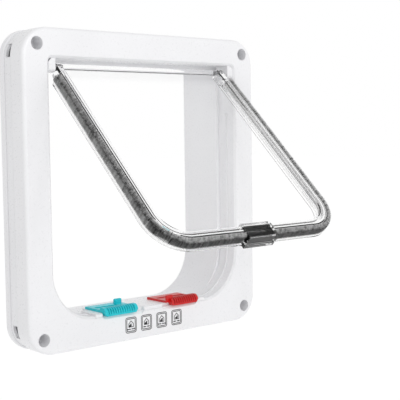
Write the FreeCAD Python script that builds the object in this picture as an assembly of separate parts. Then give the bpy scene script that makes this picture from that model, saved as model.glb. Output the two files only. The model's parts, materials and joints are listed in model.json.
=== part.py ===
import FreeCAD, Part
import math
import os

V = FreeCAD.Vector

# Millimetres. X runs across the door, +Y into it and +Z up.
# Places are counted from the bottom centre of the front face.
frame_width = 235.0
frame_height = 250.0
frame_corner = 22.0
front_depth = 17.5
face_wall = 2.5
side_wall = 2.5
edge_round = 3.0
half_width = frame_width / 2
beyond = 1.0
running_gap = 0.5

# Opening of the front frame and the collar round it.
border_side = 23.1
border_top = 22.9
border_foot = 24.5
collar_half = half_width - border_side
collar_floor = border_foot
collar_ceiling = frame_height - border_top
collar_bend = 38.0
collar_corner = 3.0
collar_depth = front_depth + 3.0
collar_wall = 2.5
opening_bevel = 1.8
lip_height = 1.2
lip_width = 1.6
lip_place = 10.7
lip_drop = 42.0

# Tunnel liner, seated on the end of the collar.
tunnel_step_side = 3.3
tunnel_step_foot = 3.5
tunnel_step_top = 3.1
tunnel_half = collar_half - tunnel_step_side
tunnel_floor = collar_floor - tunnel_step_foot
tunnel_ceiling = collar_ceiling - tunnel_step_top
tunnel_bend = collar_bend + 3.0
tunnel_corner = 3.0
tunnel_length = 44.5
tunnel_depth = collar_depth + tunnel_length
tunnel_wall = 2.0
tunnel_flange = 2.0

# Rear frame, pushed up to the front one.
rear_reach = 18.1
rear_depth = front_depth + rear_reach
rear_lip_width = 6.6
rear_lip_start = rear_depth - rear_lip_width
rear_inset = 1.5
rear_wall = 2.5
rear_slot_start = 3.0
rear_slot_width = 6.0
rear_slot_length = 10.0
tunnel_clear = 0.3

# Fixing screws at the four corners.
screw_inset_x = border_side / 2 + 1.25
screw_inset_z = border_top / 2 + 1.15
screw_hole = 2.3
head_bore = 5.0
head_floor = 4.5
head_bore_depth = front_depth - head_floor
boss_radius = head_bore + 2.2
blind_end = 3.0

# Stiffening ribs inside the front frame.
rib_wall = 1.6
rib_end_gap = 3.5
rib_places_x = (-0.28, -0.095, 0.095, 0.28)
rib_places_z = (0.32, 0.5, 0.68)

# Sill and the two slide locks that stand on it.
sill_rise = 1.8
sill_past_flat = 0.6
sill_top = collar_floor + sill_rise
sill_half = collar_half - collar_bend + sill_past_flat
sill_tongue = 9.5
sill_wall = 1.8
sill_round = 1.5
sill_pocket_half = sill_half - 2.0
sill_pocket_front = 5.0
sill_pocket_back = collar_depth - 3.0
slide_clear = 0.2
lock_travel = 8.0
left_lock_end = -16.4
right_lock_end = 14.1
sill_end_gap = 7.1
lock_length = sill_half + left_lock_end - sill_end_gap
lock_front = 2.9
lock_past_collar = 5.2
lock_back = collar_depth + lock_past_collar
lock_plate = 2.0
plate_hollow = 0.6
plate_rim = 2.5
left_grip_inset = 0.8
right_grip_inset = 4.5
grip_taper = 2.5
grip_proud = 3.0
grip_back = 3.6
grip_rise = 4.0
grip_high = sill_top + grip_rise
grip_bend = 4.5
rib_pitch = 2.3
rib_gap_width = 1.0
rib_gap_depth = 0.8
rib_margin = 2.4
rib_foot = 1.4
peg_width = 7.3
left_peg_inset = 2.4
right_peg_inset = 1.0
peg_height = 6.3
peg_top = sill_top + peg_height
peg_bevel = 0.7
foot_start = 9.0
foot_length = (lock_length - foot_start) / 2
foot_neck = 2.8
foot_head = 5.6
foot_head_height = 1.6
foot_centre = 12.0
notch_count = 9
notch_half = 0.8
notch_pitch = 2.4
recess_drop = 1.1
recess_flare = 2.4
recess_floor = collar_floor - recess_drop
recess_lip = recess_floor - recess_flare
recess_depth = 3.2
recess_slope = 3.0
recess_clear = 0.3
grip_low = recess_floor + recess_clear

# Flap, hung from two pins. It is drawn shut and then swung out.
axis_y = 8.2
axis_drop = 6.6
axis_z = collar_ceiling - axis_drop
flap_open_deg = 46.7
flange_proud = 4.6
flap_half = tunnel_half - running_gap - flange_proud
flange_reach = axis_z - peg_top - running_gap
foot_proud = 4.4
flap_reach = flange_reach - foot_proud
flap_bend = 25.0
flap_to_front = 4.0
flap_to_back = 6.0
sheet_thick = 1.6
rim_width = 6.0
rim_wall = 1.3
rim_chamfer = 0.8
groove_depth = 1.2
flange_wall = 1.2
flange_start = 10.5
flange_top_round = 4.4
barrel_radius = 2.8

# Pile strips in the groove round the flap.
pile_front = -3.6
pile_back_gap = 0.2
tape_inset = 1.0
tape_clear = 0.1
pile_bevel = 1.8
pile_taper = 5.0

# Magnet box at the foot of the flap.
box_half = 14.8
box_foot_clear = 4.0
box_height = 14.2
box_reach = axis_z - sill_top - box_foot_clear
box_top = box_reach - box_height
box_proud = 1.5
box_wall = 2.0
box_clear = 0.15
box_bevel = 0.6
box_backing = 3.2

# Hinge pins and the blocks that carry them.
pin_radius = 1.25
pin_clear = 0.05
pin_grip = 9.5
pin_end_gap = 0.5
block_reach = 6.2
block_face = collar_half - block_reach
knuckle_gap = 0.7
barrel_half = block_face - knuckle_gap
block_half = 7.2
block_drop = 4.4
block_round = 3.0
tenon_half = 2.5

# Stop pegs, one in front of the shut flap and one behind it.
peg_clear = 0.3
peg_thick = 2.3
front_peg_end = axis_y - flap_to_front - box_proud - peg_clear
front_peg_start = front_peg_end - peg_thick
back_peg_clear = 2.8
back_peg_thick = 3.0
back_peg_start = axis_y + flap_to_back + back_peg_clear
back_peg_end = back_peg_start + back_peg_thick

# Keeper magnet under the sill, and the tray that holds it.
keeper_half = 8.0
keeper_width = 7.0
keeper_thick = 4.0
tray_wall = 1.2

flap_front = axis_y - flap_to_front
flap_back = axis_y + flap_to_back
flange_front = flap_back - flange_wall
backing_front = flap_back - box_backing
pile_start_depth = axis_y + pile_front
pile_end_depth = flange_front - pile_back_gap
screw_x = half_width - screw_inset_x
screw_places = [
    (x, z)
    for x in (-screw_x, screw_x)
    for z in (screw_inset_z, frame_height - screw_inset_z)
]
mount_centre = V(0, front_depth, frame_height / 2)


def rounded_wire(corners, place):
    """Closed wire through corners (a, b, radius), each rounded by a tangent arc."""
    runs = []
    count = len(corners)
    for i, (a, b, radius) in enumerate(corners):
        here = V(a, b, 0)
        if radius <= 0:
            runs.append((here, None, here))
            continue
        before = V(*corners[i - 1][:2], 0) - here
        after = V(*corners[(i + 1) % count][:2], 0) - here
        half_angle = before.getAngle(after) / 2
        before.normalize()
        after.normalize()
        middle = (before + after).normalize()
        reach = radius / math.tan(half_angle)
        depth = radius / math.sin(half_angle) - radius
        runs.append((here + before * reach, here + middle * depth, here + after * reach))
    edges = []
    for i, (start, crown, end) in enumerate(runs):
        points = [place(p.x, p.y) if p else None for p in (start, crown, end)]
        if crown:
            edges.append(Part.Arc(*points).toShape())
        onward = place(*list(runs[(i + 1) % count][0])[:2])
        if (onward - points[2]).Length > 1e-6:
            edges.append(Part.LineSegment(points[2], onward).toShape())
    return Part.Wire(edges)


def across_door(corners, start, end):
    """Prism of an X-Z outline between two depths."""
    wire = rounded_wire(corners, lambda a, b: V(a, start, b))
    return Part.Face(wire).extrude(V(0, end - start, 0))


def along_width(corners, start, end):
    """Prism of a Y-Z outline between two places across the door."""
    wire = rounded_wire(corners, lambda a, b: V(start, a, b))
    return Part.Face(wire).extrude(V(end - start, 0, 0))


def block(x0, x1, y0, y1, z0, z1):
    """Plain block between two corners, given in any order."""
    low = V(min(x0, x1), min(y0, y1), min(z0, z1))
    return Part.makeBox(abs(x1 - x0), abs(y1 - y0), abs(z1 - z0), low)


def rod(radius, start, length, along):
    return Part.makeCylinder(radius, length, start, along)


def outline(half, low, high, low_round, high_round):
    """Upright rounded rectangle, centred on the door's middle."""
    return [
        (-half, low, low_round),
        (half, low, low_round),
        (half, high, high_round),
        (-half, high, high_round),
    ]


def frame_outline(inset=0.0):
    bend = frame_corner - inset
    return outline(half_width - inset, inset, frame_height - inset, bend, bend)


def collar_outline(out=0.0):
    top = max(collar_corner + out, 0)
    return outline(collar_half + out, collar_floor - out, collar_ceiling + out, collar_bend + out, top)


def tunnel_outline(out=0.0):
    low = tunnel_floor - out
    high = tunnel_ceiling + out
    return outline(tunnel_half + out, low, high, tunnel_bend + out, tunnel_corner + out)


def flap_outline(out=0.0):
    """Flap shut: straight up to the hinge axis, with wide bends at its foot."""
    return outline(flap_half + out, axis_z - flap_reach - out, axis_z, flap_bend + out, 0)


def flange_outline():
    """The flange reaches a little less at the foot than at the sides, and its upper corners are round."""
    bend = flap_bend + flange_proud
    return outline(flap_half + flange_proud, axis_z - flange_reach, axis_z - flange_start, bend, flange_top_round)


def ring(outer, inner, start, end):
    return across_door(outer, start, end).cut(across_door(inner, start - beyond, end + beyond))


def edges_on_depth(shape, depth):
    """Edges that lie flat at one depth."""
    found = []
    for edge in shape.Edges:
        box = edge.BoundBox
        if abs(box.YMin - depth) < 1e-4 and abs(box.YMax - depth) < 1e-4:
            found.append(edge)
    return found


def is_outer(edge):
    """True for an edge of the frame's outline, false for one of its opening."""
    middle = edge.BoundBox.Center
    side = collar_half + collar_wall
    return abs(middle.x) > side or middle.z < screw_inset_z or middle.z > frame_height - screw_inset_z


def into_one(pieces):
    return pieces[0].multiFuse(pieces[1:]).removeSplitter()


def screw_rods(radius, start, end):
    return [rod(radius, V(x, start, z), end - start, V(0, 1, 0)) for x, z in screw_places]


def front_shell():
    """Moulded face and side walls, rounded at the face, hollow behind."""
    shell = across_door(frame_outline(), 0, front_depth)
    shell = shell.cut(across_door(collar_outline(), -beyond, front_depth + beyond))
    shell = shell.makeFillet(edge_round, [e for e in edges_on_depth(shell, 0) if is_outer(e)])
    inner = [
        e for e in edges_on_depth(shell, 0)
        if abs(e.BoundBox.Center.x) <= collar_half and e.BoundBox.ZMin > collar_floor - beyond
        and e.BoundBox.ZMax < collar_ceiling + beyond
    ]
    shell = shell.makeChamfer(opening_bevel, inner)
    hollow = ring(frame_outline(side_wall), collar_outline(collar_wall), face_wall, front_depth + beyond)
    return shell.cut(hollow)


def draught_lip():
    """Low rib round the sides and foot of the collar, in line with the shut flap."""
    start = lip_place - lip_width / 2
    lip = ring(collar_outline(collar_wall / 2), collar_outline(-lip_height), start, start + lip_width)
    return lip.common(block(-half_width, half_width, 0, collar_depth, 0, collar_ceiling - lip_drop))


def face_ribs():
    """Thin ribs that tie the side walls to the collar."""
    end = front_depth - rib_end_gap
    wall = half_width - side_wall / 2
    collar = collar_half + collar_wall / 2
    ceiling = collar_ceiling + collar_wall / 2
    half = rib_wall / 2
    pieces = []
    for share in rib_places_x:
        x = share * frame_width
        pieces.append(block(x - half, x + half, face_wall / 2, end, ceiling, frame_height - side_wall / 2))
    for share in rib_places_z:
        z = share * frame_height
        for side in (-1, 1):
            pieces.append(block(side * collar, side * wall, face_wall / 2, end, z - half, z + half))
    return pieces


def sill():
    """Raised step that the locks slide on, with a tongue that lies over the liner's flat floor."""
    base = collar_floor - collar_wall / 2
    step = [
        (0, base, 0),
        (0, sill_top, sill_round),
        (collar_depth, sill_top, 0),
        (collar_depth, base, 0),
    ]
    end = collar_depth + sill_tongue
    tongue = [
        (collar_depth - beyond, tunnel_floor, 0),
        (collar_depth - beyond, sill_top, 0),
        (end, sill_top, sill_round / 2),
        (end, tunnel_floor, 0),
    ]
    flat_half = tunnel_half - tunnel_bend - running_gap
    narrow = min(sill_half, flat_half)
    return along_width(step, -sill_half, sill_half).fuse(along_width(tongue, -narrow, narrow))


def lock_recess(near_end, side, grip_inset):
    """Notch in the face that a lock's grip drops into, with sloped ends and foot."""
    inner = near_end + side * (grip_inset - lock_travel - 2 * slide_clear)
    outer = near_end + side * (lock_length + 2 * slide_clear)
    left, right = sorted((inner, outer))
    rise = sill_top + beyond
    across = across_door(
        [
            (left + recess_slope, recess_lip - beyond, 0),
            (right - recess_slope, recess_lip - beyond, 0),
            (right, recess_floor, 0),
            (right, rise, 0),
            (left, rise, 0),
            (left, recess_floor, 0),
        ],
        -beyond, recess_depth,
    )
    profile = [
        (-beyond, recess_lip, 0),
        (0, recess_lip, 0),
        (recess_depth / 2, recess_floor, 0),
        (recess_depth, recess_floor, 0),
        (recess_depth, rise, 0),
        (-beyond, rise, 0),
    ]
    return across.common(along_width(profile, -half_width, half_width))


def lock_slot(near_end, side):
    """Slot in the sill that a lock's neck runs in."""
    start = near_end + side * (foot_start - lock_travel - slide_clear)
    end = near_end + side * (foot_start + foot_length + slide_clear)
    half = foot_neck / 2 + slide_clear
    front = foot_centre - half
    back = foot_centre + half
    return block(start, end, front, back, sill_top - 2 * sill_wall, sill_top + beyond)


def sill_pocket():
    """Room under the sill for the locks' feet and the keeper magnet."""
    high = sill_top - sill_wall
    low = collar_floor - 2 * collar_wall
    return block(-sill_pocket_half, sill_pocket_half, sill_pocket_front, sill_pocket_back, low, high)


def tenon(side, clear, past):
    """Square tenon of a hinge block, and with clearance its hole in the collar."""
    half = tenon_half + clear
    near = side * (collar_half - beyond)
    far = side * (collar_half + collar_wall + past)
    return block(near, far, axis_y - half, axis_y + half, axis_z - half, axis_z + half)


def front_frame():
    """One white moulding: face, side walls, collar, sill and screw bosses."""
    collar = ring(collar_outline(collar_wall), collar_outline(), face_wall, collar_depth)
    solid = [front_shell(), collar, draught_lip(), sill()] + face_ribs()
    solid += screw_rods(boss_radius, face_wall / 2, front_depth)
    cuts = screw_rods(screw_hole, -beyond, front_depth + beyond)
    cuts += screw_rods(head_bore, -beyond, head_bore_depth)
    cuts.append(sill_pocket())
    locks = ((left_lock_end, -1, left_grip_inset), (right_lock_end, 1, right_grip_inset))
    for near_end, side, grip_inset in locks:
        cuts += [lock_recess(near_end, side, grip_inset), lock_slot(near_end, side)]
        cuts.append(tenon(side, pin_clear, beyond))
    return into_one(solid).cut(cuts)


def tunnel_liner():
    """White sleeve through the door, with a flange that seats on the collar."""
    tube = ring(tunnel_outline(tunnel_wall), tunnel_outline(), collar_depth, tunnel_depth)
    flange = ring(
        collar_outline(collar_wall), tunnel_outline(tunnel_wall / 2),
        collar_depth, collar_depth + tunnel_flange,
    )
    return into_one([tube, flange])


def rear_frame():
    """One white moulding: inset wall, lip, back plate, collar round the liner and blind bosses."""
    lip = across_door(frame_outline(), rear_lip_start, rear_depth)
    lip = lip.makeChamfer(edge_round / 2, edges_on_depth(lip, rear_depth))
    lip = lip.makeChamfer(edge_round / 4, edges_on_depth(lip, rear_lip_start))
    body = lip.fuse(across_door(frame_outline(rear_inset), front_depth, rear_lip_start + beyond))
    plate = rear_depth - rear_wall
    body = body.cut(across_door(frame_outline(rear_inset + rear_wall), front_depth - beyond, plate))
    sleeve = tunnel_wall + tunnel_clear
    start = collar_depth + tunnel_flange + tunnel_clear
    collar = across_door(tunnel_outline(sleeve + rear_wall), start, rear_depth)
    bosses = screw_rods(boss_radius, front_depth, plate + beyond)
    body = into_one([body, collar] + bosses)
    cuts = [across_door(tunnel_outline(sleeve), start - beyond, rear_depth + beyond)]
    cuts += screw_rods(screw_hole, front_depth - beyond, rear_depth - blind_end)
    slot_front = front_depth + rear_slot_start
    slot_back = slot_front + rear_slot_width
    slot_low = frame_corner - rear_slot_length
    for side in (-1, 1):
        wall = side * (half_width - rear_inset - 2 * rear_wall)
        for low in (slot_low, frame_height - frame_corner):
            cuts.append(block(wall, side * half_width, slot_front, slot_back, low, low + rear_slot_length))
    return body.cut(cuts)


def hinge_block(side):
    """Rounded block under the ceiling, with a tenon in the side wall and a blind hole for the pin."""
    front = axis_y - block_half
    back = axis_y + block_half
    low = axis_z - block_drop
    profile = [
        (front, collar_ceiling, 0),
        (back, collar_ceiling, 0),
        (back, low, block_round),
        (front, low, block_round),
    ]
    face = side * block_face
    wall = side * collar_half
    body = along_width(profile, face, wall)
    corner = across_door(
        [
            (wall + side * beyond, collar_ceiling + beyond, 0),
            (wall - side * (collar_corner + beyond), collar_ceiling + beyond, 0),
            (wall + side * beyond, collar_ceiling - collar_corner - beyond, 0),
        ],
        front - beyond, back + beyond,
    )
    hole_start = V(face - side * beyond, axis_y, axis_z)
    hole = rod(pin_radius + pin_clear, hole_start, block_reach + beyond, V(side, 0, 0))
    return body.cut(corner).fuse(tenon(side, 0, 0)).removeSplitter().cut(hole)


def swing(shape):
    """Turns a piece of the shut flap out to where the flap stands."""
    turned = shape.copy()
    turned.rotate(V(0, axis_y, axis_z), V(1, 0, 0), -flap_open_deg)
    return turned


def hinge_pin(side):
    """Steel pin, gripped in the flap's knuckle and free in the hinge block."""
    start = side * (barrel_half - pin_grip)
    length = collar_half - pin_end_gap - barrel_half + pin_grip
    return swing(rod(pin_radius, V(start, axis_y, axis_z), length, V(side, 0, 0)))


def flap_rim():
    """Rim with a channel along its back to keep the walls thin, and a groove for the pile's tape."""
    inner = outline(flap_half - rim_width, axis_z - flap_reach + rim_width, axis_z + beyond, flap_bend - rim_width, 0)
    rim = ring(flap_outline(), inner, flap_front, flap_back)
    front_edges = [e for e in edges_on_depth(rim, flap_front) if e.BoundBox.ZMin < axis_z - beyond]
    rim = rim.makeChamfer(rim_chamfer, front_edges)
    outer_wall = rim_wall + groove_depth
    channel = ring(
        flap_outline(-outer_wall), flap_outline(rim_wall - rim_width), flap_front + rim_wall, flap_back + beyond
    )
    tape = groove_depth_range(tape_clear)
    groove = block(-half_width, half_width, *tape, 0, axis_z - flange_start + tape_clear)
    groove = groove.cut(across_door(flap_outline(-groove_depth), 0, 2 * collar_depth))
    below_hinge = block(-half_width, half_width, 0, 2 * collar_depth, 0, axis_z - flange_start)
    return rim.cut([channel.common(below_hinge), groove])


def groove_depth_range(clear):
    """Depths between which the tape lies, widened by a clearance."""
    return pile_start_depth + tape_inset - clear, pile_end_depth - tape_inset + clear


def flap_panel():
    """Clear moulding: sheet, hollow rim, flange behind the pile, magnet seat and hinge barrel."""
    sheet_face = axis_y - sheet_thick / 2
    sheet = across_door(flap_outline(rim_wall / 2 - rim_width), sheet_face, sheet_face + sheet_thick)
    flange = across_door(flange_outline(), flange_front, flap_back)
    flange = flange.cut(across_door(flap_outline(-groove_depth - rim_wall / 2), 0, flap_back + beyond))
    barrel = rod(barrel_radius, V(-barrel_half, axis_y, axis_z), 2 * barrel_half, V(1, 0, 0))
    seat = box_half + box_clear
    notch = block(-seat, seat, 0, backing_front, 0, axis_z - box_top + box_clear)
    backing = block(-box_half, box_half, backing_front, flap_back, axis_z - box_reach, axis_z - box_top)
    body = into_one([flap_rim(), sheet, flange, barrel]).cut(notch)
    body = into_one([body, backing])
    bores = [
        rod(pin_radius, V(side * (barrel_half - pin_grip), axis_y, axis_z), pin_grip + beyond, V(side, 0, 0))
        for side in (-1, 1)
    ]
    return swing(body.cut(bores))


def pile_strip(side):
    """Pile strip: a tape in the groove with a brush that stands out past the rim."""
    front = pile_start_depth
    back = pile_end_depth
    bend = flap_bend + flange_proud
    outer = outline(flap_half + flange_proud, axis_z - flange_reach, axis_z, bend, 0)
    brush = ring(outer, flap_outline(), front, back)
    crown = [
        e for e in edges_on_depth(brush, front) + edges_on_depth(brush, back)
        if e.BoundBox.XMin < -flap_half - tape_clear or e.BoundBox.XMax > flap_half + tape_clear
        or e.BoundBox.ZMin < axis_z - flap_reach - tape_clear
    ]
    brush = brush.makeChamfer(pile_bevel, [e for e in crown if e.BoundBox.ZMin < axis_z - beyond])
    tape = ring(flap_outline(beyond), flap_outline(tape_clear - groove_depth), *groove_depth_range(0))
    strip = into_one([brush, tape])
    near = side * (box_half + box_clear)
    top = axis_z - flange_start
    keep = across_door(
        [
            (near, 0, 0),
            (side * half_width, 0, 0),
            (side * half_width, top - pile_taper * 2, 0),
            (side * flap_half, top, 0),
            (near, top, 0),
        ],
        0, 2 * collar_depth,
    )
    return swing(strip.common(keep))


def magnet_cover():
    """Clear cup over the magnet, closed behind by the flap's own backing."""
    front = flap_front - box_proud
    foot = axis_z - box_reach
    head = axis_z - box_top
    shell = block(-box_half, box_half, front, backing_front, foot, head)
    shell = shell.makeChamfer(box_bevel, edges_on_depth(shell, front))
    room = block(
        box_wall - box_half, box_half - box_wall, front + box_wall, backing_front + beyond,
        foot + box_wall, head - box_wall,
    )
    return swing(shell.cut(room))


def flap_magnet():
    """Black block magnet that fills the cup."""
    half = box_half - box_wall - box_clear
    front = flap_front - box_proud + box_wall
    low = axis_z - box_reach + box_wall + box_clear
    high = axis_z - box_top - box_wall - box_clear
    return swing(block(-half, half, front, backing_front, low, high))


def grip_profile(inset=0.0, bend=grip_bend):
    """Y-Z section of a lock's grip, which rolls over the sill's front edge."""
    under = sill_top + slide_clear
    back = recess_depth - 2 * slide_clear
    return [
        (back, grip_low, 0),
        (back, under, 0),
        (grip_back + lock_front / 2, under, 0),
        (grip_back + lock_front / 2, under + lock_plate, 0),
        (grip_back, grip_high - inset, 0),
        (-grip_proud + inset, grip_high - inset, bend),
        (-grip_proud + inset, grip_low, 0),
    ]


def grip_groove(start, end):
    """Finger groove over the front of a grip: a straight face, a slope over the bend and a short top."""
    face = rib_gap_depth - grip_proud
    crown = grip_high - rib_gap_depth
    slope = grip_bend * 0.7
    profile = [
        (-2 * grip_proud, grip_low + rib_foot, 0),
        (face, grip_low + rib_foot, 0),
        (face, crown - slope, 0),
        (face + slope, crown, 0),
        (grip_back, crown, 0),
        (grip_back, grip_high + beyond, 0),
        (-2 * grip_proud, grip_high + beyond, 0),
    ]
    return along_width(profile, start, end)


def lock_grip(near_end, side, grip_inset):
    """Ribbed grip, narrower at its foot."""
    inner = near_end + side * grip_inset
    outer = near_end + side * lock_length
    left, right = sorted((inner, outer))
    grip = along_width(grip_profile(), left, right)
    shape = across_door(
        [
            (left + grip_taper, grip_low - beyond, 0),
            (right - grip_taper, grip_low - beyond, 0),
            (right, sill_top, 0),
            (right, grip_high + beyond, 0),
            (left, grip_high + beyond, 0),
            (left, sill_top, 0),
        ],
        -2 * grip_proud, collar_depth,
    )
    grip = grip.common(shape)
    count = int((right - left - 2 * rib_margin - rib_gap_width) / rib_pitch) + 1
    first = (left + right - (count - 1) * rib_pitch - rib_gap_width) / 2
    starts = [first + i * rib_pitch for i in range(count)]
    return grip.cut([grip_groove(start, start + rib_gap_width) for start in starts])


def detent_notch(x):
    """Three-sided cut in a lock's rear edge."""
    corners = [(x - notch_half, lock_back), (x + notch_half, lock_back), (x, lock_back - notch_half)]
    points = [V(a, b, sill_top - beyond) for a, b in corners]
    return Part.Face(Part.makePolygon(points + points[:1])).extrude(V(0, 0, lock_plate + 2 * beyond))


def slide_lock(near_end, side, grip_inset, peg_inset, peg_start, peg_end):
    """Coloured lock: plate on the sill, ribbed grip, stop peg and a foot under the sill."""
    low = sill_top
    high = low + lock_plate
    far_end = near_end + side * lock_length
    plate = block(near_end, far_end, lock_front, lock_back, low, high)
    hollow = block(
        near_end + side * plate_rim, far_end - side * plate_rim,
        grip_back + plate_rim, back_peg_start - slide_clear, high - plate_hollow, high + beyond,
    )
    plate = plate.cut(hollow)
    peg_near = near_end + side * peg_inset
    peg = block(peg_near, peg_near + side * peg_width, peg_start, peg_end, low + slide_clear, peg_top)
    peg = peg.makeChamfer(peg_bevel, [e for e in peg.Edges if e.BoundBox.ZMax > high])
    foot_x = (near_end + side * foot_start, near_end + side * (foot_start + foot_length))
    under = sill_top - sill_wall - slide_clear
    head_low = under - foot_head_height
    neck = block(*foot_x, foot_centre - foot_neck / 2, foot_centre + foot_neck / 2, head_low, low + beyond)
    head = block(*foot_x, foot_centre - foot_head / 2, foot_centre + foot_head / 2, head_low, under)
    bridge = block(near_end, peg_near + side * peg_width, peg_start, lock_front + beyond,
                   low + slide_clear, high)
    lock = into_one([plate, lock_grip(near_end, side, grip_inset), bridge, peg, neck, head])
    middle = (near_end + far_end) / 2
    first = (near_end + far_end - (notch_count - 1) * notch_pitch) / 2
    return lock.cut([detent_notch(first + i * notch_pitch) for i in range(notch_count)])


def keeper_magnet():
    """Flat magnet seated against the underside of the sill, below the flap's own."""
    top = sill_top - sill_wall
    front = sill_pocket_front
    return block(-keeper_half, keeper_half, front, front + keeper_width, top - keeper_thick, top)


def keeper_tray():
    """Tray that clips up round the keeper magnet."""
    top = sill_top - sill_wall
    inner = keeper_half + box_clear
    outer = inner + tray_wall
    front = sill_pocket_front
    back = front + keeper_width
    low = top - keeper_thick
    tray = block(-outer, outer, front, back, low - tray_wall, top)
    return tray.cut(block(-inner, inner, front - beyond, back + beyond, low, top + beyond))


nodes = {
    "front_frame": front_frame(),
    "tunnel_liner": tunnel_liner(),
    "rear_frame": rear_frame(),
    "hinge_block_left": hinge_block(-1),
    "hinge_block_right": hinge_block(1),
    "hinge_pin_left": hinge_pin(-1),
    "hinge_pin_right": hinge_pin(1),
    "flap_panel": flap_panel(),
    "pile_strip_left": pile_strip(-1),
    "pile_strip_right": pile_strip(1),
    "magnet_cover": magnet_cover(),
    "flap_magnet": flap_magnet(),
    "left_lock": slide_lock(left_lock_end, -1, left_grip_inset, left_peg_inset, back_peg_start, back_peg_end),
    "right_lock": slide_lock(right_lock_end, 1, right_grip_inset, right_peg_inset, front_peg_start, front_peg_end),
    "keeper_magnet": keeper_magnet(),
    "keeper_tray": keeper_tray(),
}

os.makedirs("parts", exist_ok=True)
for name, shape in nodes.items():
    shape.translate(mount_centre * -1)
    shape.exportStep("parts/" + name + ".step")
    box = shape.BoundBox
    print(name, len(shape.Solids), shape.isValid(), round(shape.Volume, 1),
          [round(v, 2) for v in (box.XMin, box.XMax, box.YMin, box.YMax, box.ZMin, box.ZMax)])
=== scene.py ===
import json
import math

import bpy
import numpy as np
from mathutils import Matrix, Vector


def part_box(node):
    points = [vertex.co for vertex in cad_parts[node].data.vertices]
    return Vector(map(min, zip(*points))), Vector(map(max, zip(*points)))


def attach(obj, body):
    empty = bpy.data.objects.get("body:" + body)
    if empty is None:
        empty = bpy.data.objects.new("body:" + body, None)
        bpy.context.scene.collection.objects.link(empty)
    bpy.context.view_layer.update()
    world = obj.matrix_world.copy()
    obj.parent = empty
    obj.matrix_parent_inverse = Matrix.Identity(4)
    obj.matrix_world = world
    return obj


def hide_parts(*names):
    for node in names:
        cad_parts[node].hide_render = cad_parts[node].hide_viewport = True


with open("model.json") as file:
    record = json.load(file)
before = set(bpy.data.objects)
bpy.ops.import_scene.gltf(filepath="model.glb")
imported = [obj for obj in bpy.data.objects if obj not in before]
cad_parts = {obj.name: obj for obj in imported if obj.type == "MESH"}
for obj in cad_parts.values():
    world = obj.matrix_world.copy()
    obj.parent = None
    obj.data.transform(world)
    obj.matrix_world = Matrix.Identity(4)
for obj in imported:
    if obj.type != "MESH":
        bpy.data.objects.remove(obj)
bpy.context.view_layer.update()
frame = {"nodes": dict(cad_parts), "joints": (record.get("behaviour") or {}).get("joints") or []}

MM = 0.001
rng = np.random.default_rng(7)

# Places that the solids give, in millimetres: the flap's hinge line, and the front frame's face and foot.
HINGE = next(joint["pos_m"] for joint in frame["joints"] if joint["name"] == "flap_swing")
AXIS_Y, AXIS_Z = HINGE[1] / MM, HINGE[2] / MM
FACE_Y, FOOT_Z = (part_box("front_frame")[0][axis] / MM for axis in (1, 2))

# How far the flap stands open. Its rim, in millimetres: half the width, the reach below the hinge line
# and the bend at the lower corners. The brush starts below the hinge line and ends beside the magnet.
OPEN = math.radians(46.7)
RIM_HALF, RIM_REACH, RIM_BEND = 86.0, 183.0, 25.0
PILE_TOP, PILE_END = 11.5, 15.0

# Sizes of the patterns in the surfaces, in millimetres. The finest ones are drawn coarser than they
# really are, so that they show in the render.
DRIFT, WAVE, SPECK, SCRATCH = 55.6, 25.0, 1.11, 0.4
POLISHED, SATIN, PRINTED, WOVEN = 1.54, 1.11, 0.833, 0.667
PEEL_DEPTH, WAVE_DEPTH = 0.2, 0.4

# Radius that a mould leaves on an edge, in millimetres, and the smaller one on the locks and their ribs.
MOULD_EDGE, LOCK_EDGE = 0.7, 0.2

# How much light bends in a moulded plastic, in the clear flap and in the thin cover of its magnet. Real
# polycarbonate has 1.58, but these give the thin grey edges of the photograph.
PLASTIC_INDEX, CLEAR_INDEX, COVER_INDEX = 1.5, 1.45, 1.2


def srgb(text):
    """Linear colour from a screen colour written as hex."""
    parts = [int(text[i:i + 2], 16) / 255 for i in (1, 3, 5)]
    return tuple(c / 12.92 if c <= 0.04045 else ((c + 0.055) / 1.055) ** 2.4 for c in parts) + (1.0,)


def per_metre(size):
    """Scale of a pattern whose marks have this size in millimetres: how many of them make a metre."""
    return 1 / (size * MM)


def add_node(tree, kind, links=None, values=None, stops=(), **settings):
    """One shader node. Settings go to its own properties, values to its inputs, stops to its colour ramp
    as places and hex colours, and links join its inputs to outputs of other nodes."""
    node = tree.nodes.new(kind)
    for key, value in settings.items():
        setattr(node, key, value)
    for key, value in (values or {}).items():
        node.inputs[key].default_value = value
    for index, (place, colour) in enumerate(stops):
        marks = node.color_ramp.elements
        mark = marks[index] if index < len(marks) else marks.new(place)
        mark.position, mark.color = place, srgb(colour)
    for key, output in (links or {}).items():
        tree.links.new(output, node.inputs[key])
    return node


def new_material(name):
    """Empty material and its node tree."""
    made = bpy.data.materials.new(name)
    made.use_nodes = True
    made.node_tree.nodes.clear()
    return made, made.node_tree


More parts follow.
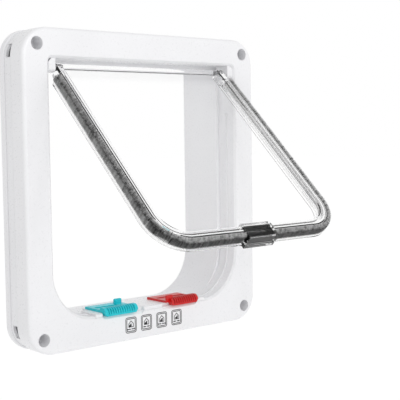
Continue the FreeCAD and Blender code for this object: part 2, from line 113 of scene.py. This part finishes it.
def moulded(name, low, high, rough, grain, bump, edge=MOULD_EDGE):
    """Moulded plastic. Its colour drifts slowly between two near ones, a fine noise makes the gloss
    uneven and gives an orange peel, and every edge has the small radius that a mould leaves."""
    made, tree = new_material(name)
    place = add_node(tree, "ShaderNodeTexCoord").outputs["Object"]
    drift = add_node(tree, "ShaderNodeTexNoise", {"Vector": place},
                     {"Scale": per_metre(DRIFT), "Detail": 3.0})
    colour = add_node(tree, "ShaderNodeValToRGB", {"Fac": drift.outputs["Fac"]},
                      stops=((0.35, low), (0.65, high)))
    fine = add_node(tree, "ShaderNodeTexNoise", {"Vector": place},
                    {"Scale": per_metre(grain), "Detail": 2.0})
    gloss = add_node(tree, "ShaderNodeMapRange", {"Value": fine.outputs["Fac"]},
                     {"To Min": rough - 0.05, "To Max": rough + 0.07})
    rounded = add_node(tree, "ShaderNodeBevel", values={"Radius": edge * MM}, samples=4)
    peel = add_node(tree, "ShaderNodeBump", {"Height": fine.outputs["Fac"], "Normal": rounded.outputs[0]},
                    {"Strength": bump, "Distance": PEEL_DEPTH * MM})
    surface = add_node(tree, "ShaderNodeBsdfPrincipled",
                       {"Base Color": colour.outputs["Color"], "Roughness": gloss.outputs["Result"],
                        "Normal": peel.outputs["Normal"]}, {"IOR": PLASTIC_INDEX})
    add_node(tree, "ShaderNodeOutputMaterial", {"Surface": surface.outputs[0]})
    return made


def clear_plastic(name, index):
    """Clear moulded plastic: polished, and slightly wavy by a slow noise. A lamp's light goes straight
    through it, so that its shadow is hardly darker than the ground beside it."""
    made, tree = new_material(name)
    place = add_node(tree, "ShaderNodeTexCoord").outputs["Object"]
    wave = add_node(tree, "ShaderNodeTexNoise", {"Vector": place},
                    {"Scale": per_metre(WAVE), "Detail": 1.0})
    flow = add_node(tree, "ShaderNodeBump", {"Height": wave.outputs["Fac"]},
                    {"Strength": 0.05, "Distance": WAVE_DEPTH * MM})
    surface = add_node(tree, "ShaderNodeBsdfPrincipled", {"Normal": flow.outputs["Normal"]},
                       {"Base Color": srgb("#FFFFFF"), "Transmission Weight": 1.0, "Roughness": 0.02,
                        "IOR": index})
    through = add_node(tree, "ShaderNodeBsdfTransparent", values={"Color": srgb("#FDFDFD")})
    ray = add_node(tree, "ShaderNodeLightPath")
    mixed = add_node(tree, "ShaderNodeMixShader",
                     {0: ray.outputs["Is Shadow Ray"], 1: surface.outputs[0], 2: through.outputs[0]})
    add_node(tree, "ShaderNodeOutputMaterial", {"Surface": mixed.outputs[0]})
    return made


def brush_pile(name):
    """Matt pile fibre. Its grey is the piece's own shade times the place along the fibre, so each fibre
    is dark at the root, as painted shade deep in the pile, and lighter at the tip, and no two are alike."""
    made, tree = new_material(name)
    shade = add_node(tree, "ShaderNodeAttribute", attribute_name="shade")
    along = add_node(tree, "ShaderNodeAttribute", attribute_name="along")
    both = add_node(tree, "ShaderNodeMath", {0: shade.outputs["Fac"], 1: along.outputs["Fac"]},
                    operation="MULTIPLY")
    # The near black at the root end of this ramp is painted shade deep in the pile.
    colour = add_node(tree, "ShaderNodeValToRGB", {"Fac": both.outputs[0]},
                      stops=((0.05, "#1C1C1C"), (0.5, "#909090"), (0.95, "#DADADA")))
    surface = add_node(tree, "ShaderNodeBsdfPrincipled", {"Base Color": colour.outputs["Color"]},
                       {"Roughness": 0.55})
    add_node(tree, "ShaderNodeOutputMaterial", {"Surface": surface.outputs[0]})
    return made


def ferrite(name):
    """Ground ferrite: nearly black, with faint specks and a dull gloss."""
    made, tree = new_material(name)
    place = add_node(tree, "ShaderNodeTexCoord").outputs["Object"]
    speck = add_node(tree, "ShaderNodeTexNoise", {"Vector": place},
                     {"Scale": per_metre(SPECK), "Detail": 2.0})
    colour = add_node(tree, "ShaderNodeValToRGB", {"Fac": speck.outputs["Fac"]},
                      stops=((0.0, "#040404"), (1.0, "#0E0E0E")))
    surface = add_node(tree, "ShaderNodeBsdfPrincipled", {"Base Color": colour.outputs["Color"]},
                       {"Roughness": 0.45, "Specular IOR Level": 0.05})
    add_node(tree, "ShaderNodeOutputMaterial", {"Surface": surface.outputs[0]})
    return made


def metal(name, colour, rough):
    """Drawn metal: bare and grey, its gloss broken by a fine noise."""
    made, tree = new_material(name)
    place = add_node(tree, "ShaderNodeTexCoord").outputs["Object"]
    fine = add_node(tree, "ShaderNodeTexNoise", {"Vector": place},
                    {"Scale": per_metre(SCRATCH), "Detail": 2.0})
    gloss = add_node(tree, "ShaderNodeMapRange", {"Value": fine.outputs["Fac"]},
                     {"To Min": rough - 0.08, "To Max": rough + 0.1})
    surface = add_node(tree, "ShaderNodeBsdfPrincipled", {"Roughness": gloss.outputs["Result"]},
                       {"Base Color": srgb(colour), "Metallic": 1.0})
    add_node(tree, "ShaderNodeOutputMaterial", {"Surface": surface.outputs[0]})
    return made


def dress(node, made):
    """Gives a solid of the frame its one material."""
    mesh = frame["nodes"][node].data
    mesh.materials.clear()
    mesh.materials.append(made)


def new_piece(name, points, faces, made, body):
    """Piece from arrays of points, in millimetres, and of faces with one number of sides. It rides on a
    body of the frame."""
    mesh = bpy.data.meshes.new(name)
    faces = np.asarray(faces, np.int32)
    count, sides = faces.shape
    mesh.vertices.add(len(points))
    mesh.vertices.foreach_set("co", (points * MM).astype(np.float32).ravel())
    mesh.loops.add(faces.size)
    mesh.loops.foreach_set("vertex_index", faces.ravel())
    mesh.polygons.add(count)
    mesh.polygons.foreach_set("loop_start", np.arange(0, faces.size, sides, dtype=np.int32))
    mesh.polygons.foreach_set("loop_total", np.full(count, sides, np.int32))
    mesh.update(calc_edges=True)
    mesh.validate()
    mesh.materials.append(made)
    piece = bpy.data.objects.new(name, mesh)
    bpy.context.scene.collection.objects.link(piece)
    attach(piece, body)
    return piece


def set_attribute(piece, name, values):
    """One number for each point, for the material to read."""
    layer = piece.data.attributes.new(name, "FLOAT", "POINT")
    layer.data.foreach_set("value", np.asarray(values, np.float32))


def skin(rows, around, closed=False):
    """Four-sided faces over a grid of points, so many rows by so many around. Each row's last point joins
    its first, and where the grid is closed the last row joins the first one too."""
    i, j = np.meshgrid(np.arange(rows if closed else rows - 1), np.arange(around), indexing="ij")
    n, k = (i + 1) % rows, (j + 1) % around
    return np.stack([i * around + j, i * around + k, n * around + k, n * around + j], -1).reshape(-1, 4)


def on_flap(x, w, r):
    """Points of the open flap: x across it, w through its thickness and r down from the hinge line, turned
    about that line by the angle that the flap stands open."""
    s, c = math.sin(OPEN), math.cos(OPEN)
    return np.stack([x, AXIS_Y + w * c - r * s, AXIS_Z - w * s - r * c], -1)


def rim_line(side, t):
    """Point and outward direction at share t of one half of the rim: straight down the side, a quarter
    arc round the corner, then straight along the foot."""
    straight = RIM_REACH - RIM_BEND - PILE_TOP
    arc = RIM_BEND * math.pi / 2
    foot = RIM_HALF - RIM_BEND - PILE_END
    run = t * (straight + arc + foot)
    turn = np.clip((run - straight) / RIM_BEND, 0, math.pi / 2)
    nx, nr = np.cos(turn), np.sin(turn)
    x = RIM_HALF - RIM_BEND + RIM_BEND * nx - np.clip(run - straight - arc, 0, None)
    r = PILE_TOP + np.clip(run, 0, straight) + RIM_BEND * nr
    return side * x, r, side * nx, nr


def off_rim(side, t, w, out):
    """Point w through the flap and so far out from the rim: the rim's point at share t plus its outward
    direction times that distance."""
    x, r, nx, nr = rim_line(side, t)
    return on_flap(x + nx * out, w, r + nr * out)


# The swept strips: steps along the rim, and the share of it that stays free at both ends.
RIM_STEPS, RIM_FREE = 200, 0.004


def along_rim(side, w, out):
    """Section given by its points through the flap and outward, carried along the rim. At both ends one
    more ring shrinks to the section's middle and closes it."""
    t = np.pad(np.linspace(RIM_FREE, 1 - RIM_FREE, RIM_STEPS - 2), 1, mode="edge")[:, None]
    grown = np.pad(np.ones((RIM_STEPS - 2, 1)), ((1, 1), (0, 0)))
    points = off_rim(side, t, *(v.mean() + grown * (v - v.mean()) for v in (w, out)))
    return points.reshape(-1, 3), skin(RIM_STEPS, len(w))[:, ::side]


# The pile, in millimetres: its middle in the flap's thickness, its height over the rim and its spread to
# the front and to the back.
PILE_MIDDLE, PILE_HIGH, PILE_FRONT, PILE_BACK = 0.3, 5.0, 5.3, 4.3

# Its dark core, an ellipse in section: half the width, half the height, the middle's height and the
# number of sides. Its grey is the product of the last two, a dark grey that is painted shade for the inside of
# the dense pile.
CORE_HALF, CORE_RISE, CORE_LIFT, CORE_SIDES = 1.9, 1.3, 1.7, 14
CORE_SHADE, CORE_ALONG = 0.2, 0.5

# Its backing tape, a flat box in section.
TAPE_FRONT, TAPE_BACK, TAPE_LOW, TAPE_HIGH = -3.6, 4.5, 0.02, 0.24

# Its fibres: how many there are on a side, their radius and the height of their roots over the rim, the
# angles that they fan out by and how far a root moves across the tape with that angle. Then their length:
# the share of the pile's outline that they reach, how much it varies, its least and its most, and the
# room that the tips leave under the pile's height.
FIBRES, FIBRE_RADIUS, ROOT_LIFT = 49000, 0.2, 0.4
FAN_FRONT, FAN_BACK, ROOT_SPREAD = -1.3, 1.2, 0.9
TRIM, TRIM_VARIES, SHORTEST, LONGEST, TIP_ROOM = 0.93, 0.045, 1.5, 6.4, 0.1
# Any direction that no fibre has.
ASKEW = np.array([0.31, 0.77, 0.55])

# The tufts: rows along the rim, lines for each radian of the fan, how often those lines wander, and how
# far out of its row a tip may be, in rows. Then how much of the way to its row and to its line a tip is
# drawn, how far the tips in front of the parting and behind it lean along the rim, as shares of it, and
# the share that they leave free at its ends.
TUFT_ROWS, TUFT_LINES, TUFT_WANDER, TUFT_LOOSE = 290, 3.2, 300, 0.12
ROW_PULL, LINE_PULL = 0.8, 0.3
LEAN_FRONT, LEAN_BACK, TIP_FREE = 0.006, -0.004, 0.001

# The greys of the pile. The parting's place in the fan, its width and how much painted shade darkens it, and
# the place where the brush's front edge begins. The angle where the painted shade on the side that looks down
# begins, the one where it is full and how much darker it makes it. The mean, what rows and single fibres
# vary by, and the least and the most.
PARTING, PARTING_WIDE, PARTING_SHADE, FRONT_EDGE = -0.45, 0.22, 0.62, -0.85
UNDER_FROM, UNDER_FULL, UNDER_SHADE = -0.75, -0.25, 0.62
GREY, ROWS_VARY, FIBRES_VARY, DARKEST, LIGHTEST = 0.98, 0.28, 0.08, 0.06, 1.2


def pile_core(side):
    """Dark body of the brush, an ellipse carried along the rim. Its dark grey is painted shade for the inside
    of the dense pile.
    """
    a = np.linspace(0, 2 * math.pi, CORE_SIDES, endpoint=False)
    return along_rim(side, PILE_MIDDLE + CORE_HALF * np.cos(a), CORE_LIFT + CORE_RISE * np.sin(a))


def pile_tape(side):
    """Backing tape that the fibres are woven into, a flat box carried along the rim."""
    return along_rim(side, np.array([TAPE_FRONT, TAPE_BACK, TAPE_BACK, TAPE_FRONT]),
                     np.array([TAPE_LOW, TAPE_LOW, TAPE_HIGH, TAPE_HIGH]))


def pile_reach(fan):
    """Length of an untrimmed fibre at an angle from straight out. The pile's outline is a box with round
    shoulders, where the shares of height and spread, each cubed, add up to one."""
    spread = np.where(fan < 0, PILE_FRONT, PILE_BACK)
    return ((np.abs(np.cos(fan)) / PILE_HIGH) ** 3 + (np.abs(np.sin(fan)) / spread) ** 3) ** (-1 / 3)


def spikes(root, tip):
    """Closed three-sided spikes: three points on a small circle round each root, square to the line from
    root to tip and turned at random, and the tip."""
    count = len(root)
    axis = tip - root
    axis /= np.linalg.norm(axis, axis=1, keepdims=True)
    across = np.cross(axis, ASKEW)
    across /= np.linalg.norm(across, axis=1, keepdims=True)
    other = np.cross(axis, across)
    spin = rng.uniform(0, 2 * math.pi, count)[:, None]
    turns = [spin + corner * 2 * math.pi / 3 for corner in range(3)]
    ring = [root + FIBRE_RADIUS * (np.cos(turn) * across + np.sin(turn) * other) for turn in turns]
    first = (np.arange(count) * 4)[:, None, None]
    faces = first + np.array([[0, 1, 3], [1, 2, 3], [2, 0, 3], [0, 2, 1]])
    return np.stack(ring + [tip], 1).reshape(-1, 3), faces.reshape(-1, 3)


def pile_shade(fan, row, down):
    """Grey of each fibre. Each row of tufts has three random greys, on the front edge, up to the parting
    and behind it. Painted shade darkens the parting as a bell curve of the fan, and darkens the back of
    the brush by how much the rim there faces down."""
    streak = rng.normal(0, ROWS_VARY, (TUFT_ROWS + 1, 3))[row, np.digitize(fan, (FRONT_EDGE, PARTING))]
    # Painted shade: the parting and the side of the brush that looks down are made darker.
    bell = np.exp(-((fan - PARTING) / PARTING_WIDE) ** 2)
    parting = bell * rng.uniform(0.2, 1.0, TUFT_ROWS + 1)[row]
    under = np.clip(down, 0, 1) * np.clip((fan - UNDER_FROM) / (UNDER_FULL - UNDER_FROM), 0, 1)
    shade = (GREY + streak - PARTING_SHADE * parting) * (1 - UNDER_SHADE * under)
    return np.clip(shade + rng.normal(0, FIBRES_VARY, len(fan)), DARKEST, LIGHTEST)


def pile_fibres(side):
    """Fibres of one half of the rim. Each is rooted at a random share t of it and fans out by a random
    angle. Its tip is drawn most of the way to its tuft's row and less to its tuft's line, leans a little
    along the rim, and ends near the pile's outline."""
    t = rng.random(FIBRES)
    fan = rng.uniform(FAN_FRONT, FAN_BACK, FIBRES)
    row = np.round(t * TUFT_ROWS).astype(int)
    wander = np.sin(t * TUFT_WANDER)
    line = np.round(fan * TUFT_LINES + wander)
    tuft_t = (row + rng.uniform(-TUFT_LOOSE, TUFT_LOOSE, FIBRES)) / TUFT_ROWS
    tuft_fan = (line - wander) / TUFT_LINES
    lean = np.where(fan < PARTING, LEAN_FRONT, LEAN_BACK)
    tip_t = np.clip(t + (tuft_t - t) * ROW_PULL + lean, TIP_FREE, 1 - TIP_FREE)
    tip_fan = fan + (tuft_fan - fan) * LINE_PULL
    reach = pile_reach(tip_fan) * (TRIM + rng.normal(0, TRIM_VARIES, FIBRES))
    reach = np.clip(reach, SHORTEST, LONGEST)
    root_w = PILE_MIDDLE + ROOT_SPREAD * fan
    out = np.minimum(reach * np.cos(tip_fan) + TIP_ROOM, PILE_HIGH - TIP_ROOM)
    root = off_rim(side, t, root_w, ROOT_LIFT)
    tip = off_rim(side, tip_t, root_w + reach * np.sin(tip_fan), out)
    points, faces = spikes(root, tip)
    shade = pile_shade(fan, row, rim_line(side, tip_t)[3])
    # Roots 0 and tips 1: with the ramp, this paints shade at the roots.
    along = np.tile([0, 0, 0, 1.0], FIBRES)
    return points, faces, np.repeat(shade, 4), along


# The printed signs, in millimetres: their middles across the face and above the frame's foot, the ink's
# height over the face and its depth in it, and the width of its lines.
SIGN_X, SIGN_LIFT = (-22.5, -6.6, 9.5, 25.6), 12.9
INK_HIGH, INK_SUNK, INK_LINE, HOUSE_LINE = 0.06, 0.02, 0.62, 0.6
# Their two squares: half the width, half the height and the corner's radius.
SIGN_SQUARES = ((5.3, 6.2, 1.7), (4.2, 5.1, 0.9))
# The house, from the sign's middle: half its width, its foot, its eaves and its ridge.
HOUSE_HALF, HOUSE_FOOT, HOUSE_EAVES, HOUSE_RIDGE = 2.3, -1.6, 1.1, 3.4
# The animal in each house: where its body's middle lies across, then its body and head as height, half
# length and half height, and how far the head is ahead.
ANIMAL_X = (-0.9, -0.5, -0.3, 0.0)
BODY_Z, BODY_X_HALF, BODY_Z_HALF = -0.6, 1.5, 0.95
HEAD_AHEAD, HEAD_Z, HEAD_X_HALF, HEAD_Z_HALF = 0.7, 0.6, 0.75, 0.7
# The arrows under the house: their height, how far out head and shaft lie, the head's half size and the
# shaft's half length, half width and corner.
ARROW_Z, ARROW_X, SHAFT_X, ARROW_HALF = -3.35, 2.9, 1.5, 0.9
SHAFT = (1.1, 0.42, 0.1)


def flat_ring(loop, y):
    """Points of a loop in X and Z, set at one depth."""
    return np.insert(loop, 1, y, axis=1)


def ribbon(loop, width, low, high):
    """Raised line of even width along a closed loop: the loop moved out and in by half the width, each
    point along the mean of its two edges' normals, at both heights."""
    ahead = np.roll(loop, -1, 0) - loop
    behind = loop - np.roll(loop, 1, 0)
    ahead /= np.linalg.norm(ahead, axis=1, keepdims=True)
    behind /= np.linalg.norm(behind, axis=1, keepdims=True)
    normal = np.stack([ahead[:, 1] + behind[:, 1], -ahead[:, 0] - behind[:, 0]], 1)
    normal /= np.maximum((normal ** 2).sum(1, keepdims=True) / 2, 0.3)
    half = normal * width / 2
    corners = ((loop + half, low), (loop + half, high), (loop - half, high), (loop - half, low))
    return np.concatenate([flat_ring(edge, y) for edge, y in corners]), skin(4, len(loop), closed=True)


def patch(loop, low, high):
    """Raised flat patch inside a closed loop: the loop at both heights, and shrunk to its middle below
    and above them."""
    middle = loop.mean(0)
    shares = ((0, low), (1, low), (1, high), (0, high))
    rings = [flat_ring(middle + (loop - middle) * share, y) for share, y in shares]
    return np.concatenate(rings), skin(4, len(loop))


def round_square(half_x, half_z, bend, steps=6):
    """Closed loop of a rectangle about the middle, with a quarter arc at each corner."""
    a = np.linspace(0, math.pi / 2, steps)
    corners = []
    for turn, sx, sz in ((0, 1, 1), (1, -1, 1), (2, -1, -1), (3, 1, -1)):
        angle = a + turn * math.pi / 2
        corners.append(np.stack([sx * (half_x - bend) + bend * np.cos(angle),
                                 sz * (half_z - bend) + bend * np.sin(angle)], 1))
    return np.concatenate(corners)


def ellipse(x, z, half_x, half_z, steps=20):
    """Closed loop of an ellipse, by its middle and its half axes times cosine and sine."""
    a = np.linspace(0, 2 * math.pi, steps, endpoint=False)
    return np.stack([x + half_x * np.cos(a), z + half_z * np.sin(a)], 1)


def arrow(x, z, half, side):
    """Small triangle that points to one side, its corners always in the same turning order."""
    corners = [[x - side * half, z + half * 0.8], [x - side * half, z - half * 0.8], [x + side * half, z]]
    return np.array(corners[::side])


def sign(index):
    """Own pictogram: two squares, a house, an animal's shape in it, and two arrows below. The arrows point
    in on the first and third sign and out on the others."""
    low, high = FACE_Y + INK_SUNK, FACE_Y - INK_HIGH
    house = np.array([[-HOUSE_HALF, HOUSE_FOOT], [HOUSE_HALF, HOUSE_FOOT], [HOUSE_HALF, HOUSE_EAVES],
                      [0, HOUSE_RIDGE], [-HOUSE_HALF, HOUSE_EAVES]])
    made = [ribbon(round_square(*square), INK_LINE, low, high) for square in SIGN_SQUARES]
    made.append(ribbon(house, HOUSE_LINE, low, high))
    x = ANIMAL_X[index]
    made.append(patch(ellipse(x, BODY_Z, BODY_X_HALF, BODY_Z_HALF), low, high))
    made.append(patch(ellipse(x + HEAD_AHEAD, HEAD_Z, HEAD_X_HALF, HEAD_Z_HALF), low, high))
    for side in (-1, 1):
        points_to = side if index % 2 else -side
        made.append(patch(arrow(side * ARROW_X, ARROW_Z, ARROW_HALF, points_to), low, high))
        shaft = round_square(*SHAFT, steps=3) + np.array([side * SHAFT_X, ARROW_Z])
        made.append(patch(shaft, low, high))
    starts = np.cumsum([0] + [len(points) for points, _ in made])
    points = np.concatenate([points for points, _ in made])
    faces = np.concatenate([faces + start for (_, faces), start in zip(made, starts)])
    return points + np.array([SIGN_X[index], 0, FOOT_Z + SIGN_LIFT]), faces


# ABS, injection moulded in a polished tool: an even, bright white with a soft gloss.
white = moulded("white_abs", "#F0F0F2", "#F3F3F5", 0.28, POLISHED, 0.008)
# ABS, coloured in the mass and moulded: full colour, a satin gloss and crisp ribs.
turquoise = moulded("turquoise_abs", "#0CC0CC", "#10CAD6", 0.32, SATIN, 0.08, LOCK_EDGE)
red = moulded("red_abs", "#C60606", "#D00A0A", 0.32, SATIN, 0.08, LOCK_EDGE)
# Polycarbonate, injection moulded in a polished tool: clear as glass, with thin grey edges.
clear = clear_plastic("clear_polycarbonate", CLEAR_INDEX)
# The same in a thin box, close against its magnet: it shows the black and hardly shines.
clear_cover = clear_plastic("clear_cover", COVER_INDEX)
# Polypropylene, drawn to fibres and woven as pile: soft, matt and streaky grey, with painted shade at the
# roots, the parting and the side that looks down.
pile = brush_pile("polypropylene_pile")
# Polypropylene, woven as tape: matt and pale.
tape = moulded("pale_tape", "#DCDCDC", "#E8E8E8", 0.5, WOVEN, 0.2)
# Ferrite, sintered and ground: nearly black, dull and faintly speckled.
black = ferrite("black_ferrite")
# Steel, drawn to wire: grey, with a broken gloss.
steel = metal("drawn_steel", "#C4C4C6", 0.3)
# Ink, pad-printed: a flat dark grey.
ink = moulded("grey_ink", "#4A4A4C", "#565658", 0.5, PRINTED, 0.03)

# The solids and their materials.
for node in ("front_frame", "tunnel_liner", "rear_frame", "hinge_block_left", "hinge_block_right",
             "keeper_tray"):
    dress(node, white)
for node in ("hinge_pin_left", "hinge_pin_right"):
    dress(node, steel)
for node in ("flap_magnet", "keeper_magnet"):
    dress(node, black)
dress("flap_panel", clear)
dress("magnet_cover", clear_cover)
dress("left_lock", turquoise)
dress("right_lock", red)

# The brush on both halves of the flap's rim.
for label, side in (("left", -1), ("right", 1)):
    points, faces, shade, along = pile_fibres(side)
    fibres = new_piece("pile_fibres_" + label, points, faces, pile, "flap")
    set_attribute(fibres, "shade", shade)
    set_attribute(fibres, "along", along)
    points, faces = pile_core(side)
    core = new_piece("pile_core_" + label, points, faces, pile, "flap")
    # The core's dark grey is painted shade for the inside of the pile.
    set_attribute(core, "shade", np.full(len(points), CORE_SHADE))
    set_attribute(core, "along", np.full(len(points), CORE_ALONG))
    points, faces = pile_tape(side)
    new_piece("pile_tape_" + label, points, faces, tape, "flap")
    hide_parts("pile_strip_" + label)

# The four printed signs.
for index in range(len(SIGN_X)):
    points, faces = sign(index)
    new_piece("sign_%d" % (index + 1), points, faces, ink, "frame")

# The studio: half the floor's width in metres, the share of the floor that glows where it lights the part
# and where it is seen, and the strength of that glow. The room's strength where it lights the part and
# where it is seen.
FLOOR_HALF = 4.0
FLOOR_LIGHTS, FLOOR_SEEN, FLOOR_GLOW = 0.52, 0.88, 1.06
ROOM_LIGHTS, ROOM_SEEN = 0.68, 1.0


def plainly_seen(tree):
    """1 where the camera sees the background itself, also in a reflection or through clear plastic,
    and 0 for the light that falls from it on a surface."""
    ray = add_node(tree, "ShaderNodeLightPath")
    seen = add_node(tree, "ShaderNodeMath", {0: ray.outputs["Is Camera Ray"], 1: ray.outputs["Is Glossy Ray"]},
                    operation="MAXIMUM")
    seen = add_node(tree, "ShaderNodeMath", {0: seen.outputs[0], 1: ray.outputs["Is Transmission Ray"]},
                    operation="MAXIMUM")
    direct = add_node(tree, "ShaderNodeMath", {0: ray.outputs["Diffuse Depth"]}, {1: 0.5},
                      operation="LESS_THAN")
    both = add_node(tree, "ShaderNodeMath", {0: seen.outputs[0], 1: direct.outputs[0]}, operation="MULTIPLY")
    return both.outputs[0]


def studio_floor():
    """White paper floor under the part: a flat square that glows a little, so that it shows white and
    keeps only a faint shadow."""
    mesh = bpy.data.meshes.new("floor")
    turns = ((-1, -1), (1, -1), (1, 1), (-1, 1))
    corners = [(x * FLOOR_HALF, y * FLOOR_HALF, FOOT_Z * MM) for x, y in turns]
    mesh.from_pydata(corners, [], [(0, 1, 2, 3)])
    made, tree = new_material("floor_white")
    paper = add_node(tree, "ShaderNodeBsdfPrincipled",
                     values={"Base Color": srgb("#F4F4F4"), "Roughness": 0.9})
    share = add_node(tree, "ShaderNodeMapRange", {"Value": plainly_seen(tree)},
                     {"To Min": FLOOR_LIGHTS, "To Max": FLOOR_SEEN})
    glow = add_node(tree, "ShaderNodeEmission", values={"Color": srgb("#FFFFFF"), "Strength": FLOOR_GLOW})
    mixed = add_node(tree, "ShaderNodeMixShader",
                     {0: share.outputs["Result"], 1: paper.outputs[0], 2: glow.outputs[0]})
    add_node(tree, "ShaderNodeOutputMaterial", {"Surface": mixed.outputs[0]})
    mesh.materials.append(made)
    floor = bpy.data.objects.new("floor", mesh)
    bpy.context.scene.collection.objects.link(floor)
    return floor


def studio_room():
    """Even light from all round, which itself is seen as plain white."""
    world = bpy.data.worlds.new("studio")
    world.use_nodes = True
    tree = world.node_tree
    tree.nodes.clear()
    white_light = srgb("#FFFFFF")
    lights = add_node(tree, "ShaderNodeBackground", values={"Color": white_light, "Strength": ROOM_LIGHTS})
    seen = add_node(tree, "ShaderNodeBackground", values={"Color": white_light, "Strength": ROOM_SEEN})
    mixed = add_node(tree, "ShaderNodeMixShader",
                     {0: plainly_seen(tree), 1: lights.outputs[0], 2: seen.outputs[0]})
    add_node(tree, "ShaderNodeOutputWorld", {"Surface": mixed.outputs[0]})
    bpy.context.scene.world = world


def lamp(name, place, size, power):
    """Large soft square lamp that faces the part's middle, with its place and size in metres."""
    data = bpy.data.lights.new(name, "AREA")
    data.shape = "SQUARE"
    data.size = size
    data.energy = power
    made = bpy.data.objects.new(name, data)
    bpy.context.scene.collection.objects.link(made)
    made.location = place
    made.rotation_euler = (-Vector(place)).to_track_quat("-Z", "Y").to_euler()


studio_floor()
studio_room()
lamp("key", (0.0, -1.5, 0.6), 0.8, 6.0)
lamp("fill", (-0.4, -0.4, 0.2), 0.3, 0.15)

# Camera at the photograph's place, in metres, worked out for a square picture of 400 pixels a side: its
# turn to the part's right, down and about its own line of sight, and its focal length in those pixels.
CAMERA_PLACE = Vector((-0.48374, -0.63951, 0.04509))
YAW, PITCH, ROLL = math.radians(40.83), math.radians(4.11), math.radians(-0.76)
FOCAL_PX, PICTURE_PX, SENSOR_MM = 956.08, 400.0, 36.0

ahead = Vector((math.sin(YAW) * math.cos(PITCH), math.cos(YAW) * math.cos(PITCH), -math.sin(PITCH)))
level = Vector((math.cos(YAW), -math.sin(YAW), 0))
upward = level.cross(ahead)
right = level * math.cos(ROLL) + upward * math.sin(ROLL)
above = upward * math.cos(ROLL) - level * math.sin(ROLL)
camera_data = bpy.data.cameras.new("camera")
camera_data.sensor_width = SENSOR_MM
camera_data.lens = FOCAL_PX / PICTURE_PX * SENSOR_MM
camera = bpy.data.objects.new("camera", camera_data)
bpy.context.scene.collection.objects.link(camera)
turned = Matrix((right, above, -ahead)).transposed().to_4x4()
camera.matrix_world = Matrix.Translation(CAMERA_PLACE) @ turned
bpy.context.scene.camera = camera
bpy.context.scene.view_settings.view_transform = "Standard"
